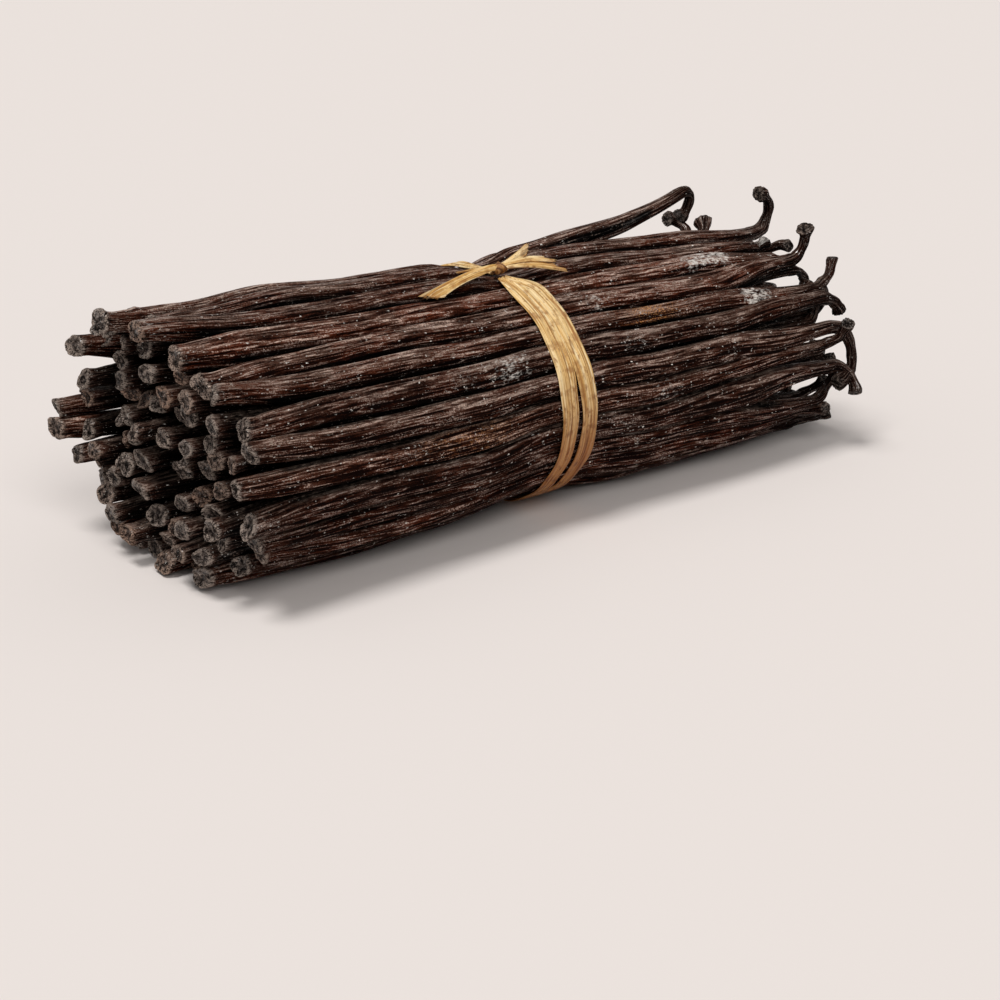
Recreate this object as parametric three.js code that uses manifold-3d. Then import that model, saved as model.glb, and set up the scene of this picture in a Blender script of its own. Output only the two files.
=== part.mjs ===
import * as THREE from "three";
import { mergeVertices } from "three/addons/utils/BufferGeometryUtils.js";
import Module from "manifold-3d";

// A bundle of cured vanilla pods, bound round the middle with raffia. Millimetres, +Z up.
// X runs along the pods: blunt blossom ends towards -X, thin hooked stem ends towards +X.
// Angles round the bundle start at +Y and turn up towards +Z.

// The bundle's section where it is tied, and how it spreads away from the tie
const TIE_HALF_HEIGHT = 26.5;
const WIDENESS = 1.2;
const BLOSSOM_FLARE = 0.1;
const STEM_TAPER = 0.05;
const FLAT_DEPTH = 2;
// An underside that comes this close to the table is pressed flat on it.
const TABLE_TOUCH = 0.25;
const TIE_LIFT = 1.9;
const LIFT_ENDS_AT = 26;

// The pods, in rings from the outside in
const RING_COUNTS = [27, 21, 16, 11, 6];
const POD_THICKNESS = 5.2;
const RING_STEP = 5.2;
const WIDTH_SPREAD = 0.36;
const BLOSSOM_REACH = 86;
const STEM_REACH = 75;
const TIP_SPREAD = 7;
const NECK_SPREAD = 12;

// Where the pods of the outer ring end: their blunt tips, and the necks of their stems
const OUTER_TIPS = [
  -91, -85, -90, -84, -87, -92, -85, -91, -89, -88, -87, -83, -84, -88, -86, -82, -78, -80, -85, -80, -86, -82,
  -84, -86, -84, -88, -92,
];
const OUTER_NECKS = [
  74, 78, 71, 76, 73, 69, 79, 73, 74, 78, 78, 78, 76, 72, 78, 75, 71, 76, 73, 78, 72, 75, 70, 77, 73, 76, 72,
];

// The stems that stand out: length, how far they turn and towards which side, and how far the neck is lifted
const STANDING_STEMS = {
  5: { length: 12, turn: 3, aim: -75, lift: 13.5 },
  6: { length: 16, turn: 3.1, aim: 95, lift: 0.5 },
  7: { length: 5, turn: 0.4, aim: 60, lift: -0.5 },
  8: { length: 8, turn: 1.1, aim: -60, lift: -0.5 },
  9: { length: 11, turn: 2.2, aim: 100, lift: -1 },
  10: { length: 11, turn: 1.5, aim: 85, lift: 0 },
  11: { length: 9, turn: 1.1, aim: -85, lift: 1 },
  12: { length: 22, turn: 3, aim: -95, lift: 2 },
  14: { length: 11, turn: 1.9, aim: -120, lift: 1 },
  16: { length: 10, turn: 1.5, aim: 170, lift: 0.5 },
};

// A pod's width as a share of its fullest, from the blunt tip to the hooked stem
const TIP_SHARE = 0.62;
const TIP_LENGTH = 2.5;
const SHOULDER_SHARE = 0.78;
const SHOULDER_LENGTH = 18;
const NECK_SHARE = 0.56;
const NECK_LENGTH = 22;
const LONG_NECK_LENGTH = 42;
const STEM_SHARE = 0.44;
const KNOB_SHARE = 0.6;
const STEM_CURL = 1.15;

// The raffia: two strands round the pods, one knot, and the cut tails
const RAFFIA_THICKNESS = 0.7;
const RAFFIA_GAP = 1;
const RAFFIA_GAP_BELOW = 0.85;
const STRAND_WIDTH = 4.7;
const KNOT_ANGLE = THREE.MathUtils.degToRad(101);
const KNOT_RADIUS = 2.3;
const KNOT_RISE = 1.5;
const KNOT_SHIFT = -2.5;

// Faces spent on each kind of piece
const OUTER_SIDES = 6;
const INNER_TIP_SIDES = 5;
const INNER_STEM_SIDES = 4;
const CORE_STATIONS = [-70, -52, -28, 0, 28, 50, 66];
const STRAND_STEPS = 40;

const UP = new THREE.Vector3(0, 0, 1);
const ALONG = new THREE.Vector3(1, 0, 0);
const { smoothstep, lerp } = THREE.MathUtils;

const wasm = await Module();
wasm.setup();

// A repeatable draw from 0 to 1 for one quality of one pod.
function chance(pod, quality) {
  const wave = Math.sin(pod * 12.9898 + quality * 78.233) * 43758.5453;
  return wave - Math.floor(wave);
}

// How much wider the bundle is at x than at its tie.
function flareAt(x) {
  if (x < 0) return 1 + BLOSSOM_FLARE * (-x / BLOSSOM_REACH) ** 1.4;
  return 1 - STEM_TAPER * (x / STEM_REACH) ** 1.6;
}

// The tie squeezes the pods and holds them just off the table.
function liftAt(x) {
  return TIE_LIFT * (1 - smoothstep(Math.abs(x), 6, LIFT_ENDS_AT));
}

// A closed curve round the bundle, a given depth under its outline: the point, and the way out of the bundle.
function ringPoint(x, angle, depth) {
  const flare = flareAt(x);
  const squeeze = liftAt(x) / 2;
  const halfHeight = (TIE_HALF_HEIGHT - depth) * flare - squeeze;
  const halfWidth = (TIE_HALF_HEIGHT * WIDENESS - depth) * flare - squeeze;
  const centre = TIE_HALF_HEIGHT * flare - FLAT_DEPTH + squeeze;
  const point = new THREE.Vector3(x, halfWidth * Math.cos(angle), centre + halfHeight * Math.sin(angle));
  const out = new THREE.Vector3(0, halfHeight * Math.cos(angle), halfWidth * Math.sin(angle)).normalize();
  return { point, out };
}

// Every pod: its ring, its place round the ring and its own small differences.
function growPods() {
  const pods = [];
  RING_COUNTS.forEach((count, ring) => {
    const first = pods.length;
    const shares = Array.from({ length: count }, (_, i) => 1 + WIDTH_SPREAD * (chance(first + i, 1) - 0.5));
    const whole = shares.reduce((sum, share) => sum + share, 0);
    const depth = POD_THICKNESS / 2 + ring * RING_STEP;
    let turned = ring * 0.4;
    shares.forEach((share, i) => {
      const id = first + i;
      const wide = (share / whole) * 2 * Math.PI;
      const angle = turned + wide / 2;
      turned += wide;
      const speed = Math.hypot(
        (TIE_HALF_HEIGHT * WIDENESS - depth) * Math.sin(angle),
        (TIE_HALF_HEIGHT - depth) * Math.cos(angle),
      );
      const stem = (ring === 0 && STANDING_STEMS[i]) || {
        length: 7 + (ring === 0 ? 8 : 6) * chance(id, 11),
        turn: 0.6 + 2.6 * chance(id, 12),
        aim: THREE.MathUtils.radToDeg(angle) + (ring === 0 ? 150 : 360) * (chance(id, 13) - 0.5),
        lift: 3 * chance(id, 10) - (ring === 0 ? 0.8 : 1.6),
      };
      pods.push({
        ring,
        depth,
        angle,
        stem,
        halfWidth: (wide * speed) / 2,
        halfThickness: (POD_THICKNESS / 2) * (0.92 + 0.2 * chance(id, 2)),
        tip: ring === 0 ? OUTER_TIPS[i] : -BLOSSOM_REACH + TIP_SPREAD * (chance(id, 3) - 0.5),
        neck: ring === 0 ? OUTER_NECKS[i] : STEM_REACH + NECK_SPREAD * (chance(id, 4) - 0.5),
        wave: 2 * Math.PI * chance(id, 5),
        wavelength: 90 + 60 * chance(id, 6),
        neckLength: stem.lift > 5 ? LONG_NECK_LENGTH : NECK_LENGTH,
        tipDrift: 4 * (chance(id, 7) - 0.5),
        neckDrift: 6 * (chance(id, 8) - 0.5),
        tipRise: 1.8 * chance(id, 9) - 0.4,
      });
    });
  });
  return pods;
}

// The middle line of a pod's body at x, and the way out of the bundle there.
function podPoint(pod, x) {
  const loose = smoothstep(Math.abs(x), 5, 45);
  const towardsTip = Math.max(0, -x / BLOSSOM_REACH) ** 2;
  const towardsNeck = Math.max(0, x / STEM_REACH) ** 2;
  const swing = loose * 0.9 * Math.sin((2 * Math.PI * x) / pod.wavelength + pod.wave);
  const drift = swing + pod.tipDrift * towardsTip + pod.neckDrift * towardsNeck;
  const rise =
    loose * 0.35 * Math.sin((4 * Math.PI * x) / pod.wavelength + 2 * pod.wave) +
    pod.tipRise * towardsTip +
    pod.stem.lift * towardsNeck;
  const angle = pod.angle + drift / TIE_HALF_HEIGHT;
  const { point, out } = ringPoint(x, angle, pod.depth);
  point.addScaledVector(out, rise);
  point.z = Math.max(point.z, liftAt(x) + pod.halfThickness + pod.ring * RING_STEP * 0.9);
  return { point, out };
}

// A pod's width at x, as a share of its fullest.
function bodyShare(pod, x) {
  const fromTip = x - pod.tip;
  const toNeck = pod.neck - x;
  const tip =
    fromTip < TIP_LENGTH
      ? lerp(TIP_SHARE, SHOULDER_SHARE, Math.sqrt(Math.max(0, fromTip) / TIP_LENGTH))
      : lerp(SHOULDER_SHARE, 1, smoothstep(fromTip, TIP_LENGTH, SHOULDER_LENGTH));
  return tip * lerp(NECK_SHARE, 1, smoothstep(toNeck, 0, pod.neckLength));
}

// Cross-sections of a pod: along its body at the x values, then round its hooked stem at shares of its length.
function podSections(pod, bodyXs, stemShares) {
  const sections = bodyXs.map((x) => {
    const { point, out } = podPoint(pod, x);
    const heading = podPoint(pod, x + 0.5).point.sub(podPoint(pod, x - 0.5).point).normalize();
    const up = out.clone().addScaledVector(heading, -out.dot(heading)).normalize();
    const share = bodyShare(pod, x);
    return { point, heading, up, halfWidth: pod.halfWidth * share, halfThickness: pod.halfThickness * share };
  });
  if (!stemShares.length) return sections;
  const last = sections[sections.length - 1];
  const aim = THREE.MathUtils.degToRad(pod.stem.aim);
  const bend = new THREE.Vector3(0, Math.cos(aim), Math.sin(aim));
  if (last.point.z < 20 && bend.z < 0) bend.z = -bend.z;
  bend.addScaledVector(last.heading, -bend.dot(last.heading)).normalize();
  const hinge = new THREE.Vector3().crossVectors(last.heading, bend);
  const steps = 40;
  const point = last.point.clone();
  let done = 0;
  stemShares.forEach((share) => {
    for (; done < Math.round(share * steps); done++) {
      const turn = pod.stem.turn * ((done + 0.5) / steps) ** STEM_CURL;
      const stride = pod.stem.length / steps;
      point.addScaledVector(last.heading, Math.cos(turn) * stride);
      point.addScaledVector(bend, Math.sin(turn) * stride);
    }
    const turn = pod.stem.turn * share ** STEM_CURL;
    const heading = last.heading.clone().multiplyScalar(Math.cos(turn)).addScaledVector(bend, Math.sin(turn));
    const bent = bend.clone().multiplyScalar(Math.cos(turn)).addScaledVector(last.heading, -Math.sin(turn));
    const up = bent.multiplyScalar(last.up.dot(bend)).addScaledVector(hinge, last.up.dot(hinge)).normalize();
    const knob = smoothstep(share, 0.78, 0.95);
    const thin = lerp(NECK_SHARE, STEM_SHARE, smoothstep(share, 0, 0.5));
    const size = pod.halfThickness * lerp(thin, KNOB_SHARE, knob);
    sections.push({ point: point.clone(), heading, up, halfWidth: size * 1.1, halfThickness: size });
  });
  return sections;
}

// A closed tube through the sections: a cylinder whose rings are moved onto them.
function tube(sections, sides, turn = 0) {
  const rings = sections.length - 1;
  const geometry = new THREE.CylinderGeometry(1, 1, 1, sides, rings);
  geometry.rotateY(turn);
  const place = geometry.attributes.position;
  const side = new THREE.Vector3();
  const moved = new THREE.Vector3();
  for (let i = 0; i < place.count; i++) {
    const section = sections[Math.round((place.getY(i) + 0.5) * rings)];
    side.crossVectors(section.heading, section.up);
    moved.copy(section.point);
    moved.addScaledVector(side, place.getX(i) * section.halfWidth);
    moved.addScaledVector(section.up, place.getZ(i) * section.halfThickness);
    place.setXYZ(i, moved.x, moved.y, moved.z < TABLE_TOUCH ? 0 : moved.z);
  }
  return geometry;
}

// A flat strip along a curve. The width and the way its face looks change evenly from the first end to the last.
function strip(points, widths, faces, steps) {
  const curve = new THREE.CatmullRomCurve3(points);
  const geometry = new THREE.BoxGeometry(1, 1, 1, 1, steps, 1);
  const place = geometry.attributes.position;
  const moved = new THREE.Vector3();
  for (let i = 0; i < place.count; i++) {
    const share = place.getY(i) + 0.5;
    const heading = curve.getTangent(share);
    const face = faces[0].clone().lerp(faces[1], share);
    face.addScaledVector(heading, -face.dot(heading)).normalize();
    const side = new THREE.Vector3().crossVectors(heading, face);
    moved.copy(curve.getPoint(share));
    moved.addScaledVector(side, place.getX(i) * lerp(widths[0], widths[1], share));
    moved.addScaledVector(face, place.getZ(i) * RAFFIA_THICKNESS);
    place.setXYZ(i, moved.x, moved.y, moved.z);
  }
  return geometry;
}

// The middle of the band at an angle round the pods.
function bandPoint(angle) {
  const { point, out } = ringPoint(0, angle, -RAFFIA_GAP - RAFFIA_THICKNESS / 2);
  point.z = Math.max(point.z, TIE_LIFT - RAFFIA_GAP_BELOW - RAFFIA_THICKNESS / 2);
  return { point, out };
}

// One strand of the band: a ring of rectangular section. The strands lie edge to edge at the top of the near
// side, part lower down, and are gathered in under the knot.
function strand(sideways) {
  const geometry = new THREE.TorusGeometry(1, 0.5, 4, STRAND_STEPS);
  const place = geometry.attributes.position;
  const corners = [
    [0.5, 0.5],
    [-0.5, 0.5],
    [-0.5, -0.5],
    [0.5, -0.5],
    [0.5, 0.5],
  ];
  for (let i = 0; i < place.count; i++) {
    const step = i % (STRAND_STEPS + 1);
    const [outwards, along] = corners[Math.floor(i / (STRAND_STEPS + 1))];
    const fromKnot = ((step % STRAND_STEPS) / STRAND_STEPS) * 2 * Math.PI;
    const { point, out } = bandPoint(KNOT_ANGLE + fromKnot);
    const away = Math.min(fromKnot, 2 * Math.PI - fromKnot);
    const gathered = smoothstep(away, 0, 0.5);
    const parted = smoothstep(away, 0.75, 1.3) * (1 - smoothstep(away, 2.1, 2.8));
    const middle = sideways * (lerp(0.5, STRAND_WIDTH / 2 - 0.2, gathered) + 0.5 * parted);
    const width = lerp(1.6, STRAND_WIDTH, gathered) - 0.4 * parted;
    point.addScaledVector(out, outwards * RAFFIA_THICKNESS);
    place.setXYZ(i, lerp(KNOT_SHIFT, 0, gathered) + middle + along * width, point.y, point.z);
  }
  return geometry;
}

// A closed mesh as a solid to join or cut.
function solidOf(geometry) {
  const bare = geometry.clone();
  bare.deleteAttribute("normal");
  bare.deleteAttribute("uv");
  const merged = mergeVertices(bare, 1e-4);
  return new wasm.Manifold(
    new wasm.Mesh({
      numProp: 3,
      vertProperties: merged.attributes.position.array,
      triVerts: new Uint32Array(merged.index.array),
    }),
  );
}

function geometryOf(solid) {
  const mesh = solid.getMesh();
  const geometry = new THREE.BufferGeometry();
  geometry.setAttribute("position", new THREE.BufferAttribute(mesh.vertProperties, 3));
  geometry.setIndex(new THREE.BufferAttribute(mesh.triVerts, 1));
  return geometry;
}

function join(solids) {
  return solids.reduce((whole, solid) => whole.add(solid));
}

// The heap of pods: a core, the outer pods whole, and both ends of the pods inside.
function makePods() {
  const pods = growPods();
  const coreSections = CORE_STATIONS.map((x) => {
    const top = ringPoint(x, Math.PI / 2, POD_THICKNESS / 2 + 0.4).point;
    const bottom = liftAt(x) + POD_THICKNESS / 2;
    const middle = (top.z + bottom) / 2;
    return {
      point: new THREE.Vector3(x, 0, middle),
      heading: ALONG,
      up: UP,
      halfWidth: ringPoint(x, 0, POD_THICKNESS / 2 + 0.4).point.y,
      halfThickness: top.z - middle,
    };
  });
  const pieces = [solidOf(tube(coreSections, RING_COUNTS[0]))];
  const coreStart = CORE_STATIONS[0];
  const coreEnd = CORE_STATIONS[CORE_STATIONS.length - 1];
  for (const pod of pods) {
    const tipXs = [pod.tip, pod.tip + TIP_LENGTH];
    if (pod.ring === 0) {
      const bodyXs = [...tipXs, pod.tip + 18, -34, 0, 27, pod.neck - NECK_LENGTH + 4, pod.neck];
      const stemShares = pod.stem.turn > 2.5 ? [0.25, 0.45, 0.65, 0.85, 1] : [0.4, 0.7, 1];
      pieces.push(solidOf(tube(podSections(pod, bodyXs, stemShares), OUTER_SIDES)));
    } else {
      pieces.push(solidOf(tube(podSections(pod, [...tipXs, coreStart + 3], []), INNER_TIP_SIDES)));
      const stem = podSections(pod, [coreEnd - 3, pod.neck], [0.5, 1]);
      pieces.push(solidOf(tube(stem, INNER_STEM_SIDES)));
    }
  }
  const below = new THREE.BoxGeometry(400, 200, 20).translate(0, 0, -10);
  return join(pieces).subtract(solidOf(below));
}

// The raffia tie: the band, its knot and its tails, all one strip of leaf.
function makeTie() {
  const { point: seat, out } = bandPoint(KNOT_ANGLE);
  const knotCentre = seat.clone().addScaledVector(out, KNOT_RISE).addScaledVector(ALONG, KNOT_SHIFT);
  const knot = new THREE.SphereGeometry(KNOT_RADIUS, 8, 6).scale(1.15, 1, 0.8);
  knot.translate(knotCentre.x, knotCentre.y, knotCentre.z);
  // A tail's points are given as distances along the pods, towards the near side, and up, from the knot.
  const near = new THREE.Vector3().crossVectors(ALONG, out);
  const from = (along, nearer, up) =>
    knotCentre.clone().addScaledVector(ALONG, along).addScaledVector(near, nearer).addScaledVector(out, up);
  const tails = [
    strip([from(0, 0, 0), from(-7, 0.8, 0.8), from(-14, 2, 0), from(-20.5, 3, -1)], [1.8, 4.4], [out, out], 6),
    strip([from(0, 0, 0.2), from(-5, -0.6, 1.2), from(-9.5, -0.8, 1.4)], [1.2, 1.6], [out, out], 4),
    strip([from(0, 0, 0.2), from(4, -0.3, 1.2), from(8, 0, 3.2)], [1.4, 2.6], [out, out], 4),
    strip([from(0, 0, 0), from(6, 2, 0.8), from(14, 5.5, -0.4)], [2, 4], [out, out], 5),
  ];
  return join([strand(-1), strand(1), knot, ...tails].map(solidOf));
}

function named(name, solid, look) {
  const mesh = new THREE.Mesh(geometryOf(solid), new THREE.MeshStandardMaterial(look));
  mesh.name = name;
  return mesh;
}

const bundle = new THREE.Group();
bundle.add(named("vanilla_pods", makePods(), { color: 0x2e1c16, roughness: 0.45, metalness: 0 }));
bundle.add(named("raffia_tie", makeTie(), { color: 0xd9b06a, roughness: 0.7, metalness: 0 }));

// The origin is under the middle of the whole bundle, on the table.
const whole = new THREE.Box3().setFromObject(bundle);
const middle = whole.getCenter(new THREE.Vector3());
bundle.children.forEach((mesh) => mesh.position.set(-middle.x, -middle.y, -whole.min.z));

export default bundle;
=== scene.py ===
import bpy
import math
import numpy as np
from mathutils import Matrix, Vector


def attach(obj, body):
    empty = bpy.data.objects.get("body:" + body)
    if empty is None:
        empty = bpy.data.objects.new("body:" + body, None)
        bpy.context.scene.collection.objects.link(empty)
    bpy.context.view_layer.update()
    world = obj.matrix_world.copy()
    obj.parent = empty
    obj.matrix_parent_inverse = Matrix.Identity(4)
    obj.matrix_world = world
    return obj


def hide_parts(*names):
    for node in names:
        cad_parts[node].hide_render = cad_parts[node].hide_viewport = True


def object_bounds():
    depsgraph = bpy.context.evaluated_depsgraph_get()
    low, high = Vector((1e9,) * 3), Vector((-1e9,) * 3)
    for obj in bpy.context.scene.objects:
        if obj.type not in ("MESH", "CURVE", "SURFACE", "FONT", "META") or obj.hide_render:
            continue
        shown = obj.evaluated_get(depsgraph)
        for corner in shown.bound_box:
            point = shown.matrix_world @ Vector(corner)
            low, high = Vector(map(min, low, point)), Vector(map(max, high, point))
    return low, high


# A bundle of cured vanilla pods tied with raffia. The pods and the tie are worked out in millimetres, with
# x = 0 at the tie, and set down in the frame in metres.

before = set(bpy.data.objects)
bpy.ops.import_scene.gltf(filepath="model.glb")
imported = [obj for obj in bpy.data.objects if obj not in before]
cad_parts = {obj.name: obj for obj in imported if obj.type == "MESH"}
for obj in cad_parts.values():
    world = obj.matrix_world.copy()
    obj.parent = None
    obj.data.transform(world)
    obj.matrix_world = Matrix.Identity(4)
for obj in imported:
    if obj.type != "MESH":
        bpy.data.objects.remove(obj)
cadLow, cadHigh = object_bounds()
scene = bpy.context.scene
mm = 0.001
boxMargin = 2e-5  # metres that the pieces keep inside the part's box

# How the bundle is laid out: the same named sizes as the part's own source
bundle = dict(
    tieHalfHeight=26.5, wideness=1.2, blossomFlare=0.1, stemTaper=0.05, flatDepth=2.0, tieLift=1.9,
    liftEndsAt=26.0, tieAt=(0.29, -0.83, 0.0), farTopRise=1.8,
)
podSizes = dict(
    ringCounts=(27, 21, 16, 11, 6), thickness=5.2, ringStep=5.2, widthSpread=0.36, blossomReach=86.0,
    stemReach=75.0, tipSpread=7.0, neckSpread=12.0, tipShare=0.62, tipLength=2.5, shoulderShare=0.78,
    shoulderLength=18.0, neckShare=0.56, neckLength=22.0, longNeckLength=42.0, stemShare=0.44, knobShare=0.6,
    stemCurl=1.15,
)
outerTips = (-91, -85, -90, -84, -87, -92, -85, -91, -89, -88, -87, -83, -84, -88, -86, -82, -78, -80, -85, -80,
             -86, -82, -84, -86, -84, -88, -92)
outerNecks = (74, 78, 71, 76, 73, 69, 79, 73, 74, 78, 78, 78, 76, 72, 78, 75, 71, 76, 73, 78, 72, 75, 70, 77, 73,
              76, 72)
# Stems that stand out: length, turn, aim in degrees and how far the neck is lifted
standingStems = {5: (12, 3, -75, 13.5), 6: (16, 3.1, 95, 0.5), 7: (5, 0.4, 60, -0.5), 8: (8, 1.1, -60, -0.5),
                 9: (11, 2.2, 100, -1), 10: (11, 1.5, 85, 0), 11: (9, 1.1, -85, 1), 12: (22, 3, -95, 2),
                 14: (11, 1.9, -120, 1), 16: (10, 1.5, 170, 0.5)}


def chance(pod, quality):  # from 0 to 1: the broken-off part of a steep sine, the same each time
    wave = math.sin(pod * 12.9898 + quality * 78.233) * 43758.5453
    return wave - math.floor(wave)


def ease(value, low, high):  # smoothstep from low to high
    t = np.clip((value - low) / (high - low), 0, 1)
    return t * t * (3 - 2 * t)


def mix(a, b, t):  # straight from a to b
    return a + (b - a) * t


def flareAt(x):  # width of the bundle at x, as a share of its width at the tie
    x = np.asarray(x, float)
    left = 1 + bundle["blossomFlare"] * (np.maximum(-x, 0) / podSizes["blossomReach"]) ** 1.4
    right = 1 - bundle["stemTaper"] * (np.maximum(x, 0) / podSizes["stemReach"]) ** 1.6
    return np.where(x < 0, left, right)


def liftAt(x):  # the undersides rise smoothly towards the tie, which then clears the table
    return bundle["tieLift"] * (1 - ease(np.abs(x), 6, bundle["liftEndsAt"]))


def ringPoint(x, angle, depth):  # ellipse round the bundle, depth under its outline: points and outward ways
    flare = flareAt(x)
    squeeze = liftAt(x) / 2
    halfHeight = (bundle["tieHalfHeight"] - depth) * flare - squeeze
    halfWidth = (bundle["tieHalfHeight"] * bundle["wideness"] - depth) * flare - squeeze
    centre = bundle["tieHalfHeight"] * flare - bundle["flatDepth"] + squeeze
    angle = angle + 0 * flare
    point = np.stack([x + 0 * flare, halfWidth * np.cos(angle), centre + halfHeight * np.sin(angle)], -1)
    out = np.stack([0 * flare, halfHeight * np.cos(angle), halfWidth * np.sin(angle)], -1)
    return point, unit(out)


def unit(v):  # length 1, same way
    return v / np.maximum(np.linalg.norm(v, axis=-1, keepdims=True), 1e-12)


def square(v, heading):  # the part of v that is square to heading
    return unit(v - (v * heading).sum(-1, keepdims=True) * heading)


def layOutPods():  # each ring is shared out among its pods by their widths, and chance gives them the rest
    pods = []
    for ring, count in enumerate(podSizes["ringCounts"]):
        first = len(pods)
        shares = [1 + podSizes["widthSpread"] * (chance(first + i, 1) - 0.5) for i in range(count)]
        depth = podSizes["thickness"] / 2 + ring * podSizes["ringStep"]
        turned = ring * 0.4
        for i, share in enumerate(shares):
            n = first + i
            wide = share / sum(shares) * 2 * math.pi
            angle = turned + wide / 2
            turned += wide
            speed = math.hypot((bundle["tieHalfHeight"] * bundle["wideness"] - depth) * math.sin(angle),
                               (bundle["tieHalfHeight"] - depth) * math.cos(angle))
            stem = standingStems.get(i) if ring == 0 else None
            stem = stem or (7 + (6 if ring else 8) * chance(n, 11), 0.6 + 2.6 * chance(n, 12),
                            math.degrees(angle) + (360 if ring else 150) * (chance(n, 13) - 0.5),
                            3 * chance(n, 10) - (1.6 if ring else 0.8))
            pods.append(dict(
                number=n, ring=ring, depth=depth, angle=angle, stem=stem, wide=wide,
                halfWidth=wide * speed / 2,
                halfThickness=podSizes["thickness"] / 2 * (0.92 + 0.2 * chance(n, 2)),
                tip=outerTips[i] if ring == 0
                else -podSizes["blossomReach"] + podSizes["tipSpread"] * (chance(n, 3) - 0.5),
                neck=outerNecks[i] if ring == 0
                else podSizes["stemReach"] + podSizes["neckSpread"] * (chance(n, 4) - 0.5),
                wave=2 * math.pi * chance(n, 5), wavelength=90 + 60 * chance(n, 6),
                neckLength=podSizes["longNeckLength" if stem[3] > 5 else "neckLength"],
                tipDrift=4 * (chance(n, 7) - 0.5), neckDrift=6 * (chance(n, 8) - 0.5),
                tipRise=1.8 * chance(n, 9) - 0.4))
    return pods


def podDrift(pod, x):  # how far a pod wanders round the bundle
    towardsTip = np.maximum(0, -x / podSizes["blossomReach"]) ** 2
    towardsNeck = np.maximum(0, x / podSizes["stemReach"]) ** 2
    swing = ease(np.abs(x), 5, 45) * 0.9 * np.sin(2 * math.pi * x / pod["wavelength"] + pod["wave"])
    return swing + pod["tipDrift"] * towardsTip + pod["neckDrift"] * towardsNeck


def closeRanks(row):  # in the middle of the bundle each outer pod fills the room between its neighbours
    x = np.linspace(-95, 85, 181)
    angles = np.array([p["angle"] + podDrift(p, x) / bundle["tieHalfHeight"] for p in row])
    widths = np.array([p["wide"] for p in row])[:, None]
    ahead = np.roll(angles, -1, 0)
    ahead[-1] += 2 * math.pi
    gap = ahead - angles
    right = gap * widths / (widths + np.roll(widths, -1, 0))
    left = np.roll(gap - right, 1, 0)
    for p, r, l in zip(row, right, left):
        held = ease(x, p["tip"] + 3, p["tip"] + 22) * (1 - ease(x, p["neck"] - 30, p["neck"] - 12))
        p["fit"] = (x, held * (r - l) / 2, mix(1, (r + l) / p["wide"], held))


def podLine(pod, x):  # middle line of a pod's body: its place on its ring, drifting round and in and out
    towardsTip = np.maximum(0, -x / podSizes["blossomReach"]) ** 2
    towardsNeck = np.maximum(0, x / podSizes["stemReach"]) ** 2
    rise = ease(np.abs(x), 5, 45) * 0.35 * np.sin(4 * math.pi * x / pod["wavelength"] + 2 * pod["wave"])
    rise = rise + pod["tipRise"] * towardsTip + pod["stem"][3] * towardsNeck
    angle = pod["angle"] + podDrift(pod, x) / bundle["tieHalfHeight"]
    if "fit" in pod:
        angle = angle + np.interp(x, pod["fit"][0], pod["fit"][1])
    point, out = ringPoint(x, angle, pod["depth"])
    if pod["ring"] == 0:  # the tie squeezes the pods at the far top, which stand up on either side of it
        besideTie = ease(-x, 2.5, 11) * (1 - ease(-x, 50, 74)) + ease(x, 4, 14) * (1 - ease(x, 24, 50))
        turned = math.degrees(pod["angle"])
        rise = rise + bundle["farTopRise"] * besideTie * ease(turned, 20, 45) * (1 - ease(turned, 82, 112))
    point = point + out * rise[..., None]
    floor = liftAt(x) + pod["halfThickness"] + pod["ring"] * podSizes["ringStep"] * 0.9
    point[..., 2] = np.maximum(point[..., 2], floor)
    return point, out


def bodyShare(pod, x):  # width of the body at x, as a share of its fullest: blunt tip, shoulder, slow taper
    s = podSizes
    fromTip = np.maximum(x - pod["tip"], 0)
    blunt = mix(s["tipShare"], s["shoulderShare"], np.sqrt(np.minimum(fromTip / s["tipLength"], 1)))
    full = mix(s["shoulderShare"], 1, ease(fromTip, s["tipLength"], s["shoulderLength"]))
    tip = np.where(fromTip < s["tipLength"], blunt, full)
    return tip * mix(s["neckShare"], 1, ease(pod["neck"] - x, 0, pod["neckLength"]))


# Meshes

def driftNoise(rng, s, step):  # smooth random curve along s, from -1 to 1
    knots = rng.uniform(-1, 1, int((s.max() - s.min()) / step) + 4)
    t = (s - s.min()) / step
    i = np.floor(t).astype(int)
    f = t - i
    return mix(knots[i], knots[i + 1], f * f * (3 - 2 * f))


def tubeFaces(rows, sides):  # quads round a closed tube and a fan of triangles over each end
    r, s = np.meshgrid(np.arange(rows - 1), np.arange(sides), indexing="ij")
    n = (s + 1) % sides
    quads = np.stack([r * sides + s, r * sides + n, (r + 1) * sides + n, (r + 1) * sides + s], -1).reshape(-1, 4)
    k = np.arange(sides)
    m = (k + 1) % sides
    start = np.stack([np.full(sides, rows * sides), m, k], -1)
    last = (rows - 1) * sides
    end = np.stack([np.full(sides, rows * sides + 1), last + k, last + m], -1)
    return quads, np.concatenate([start, end])


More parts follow.
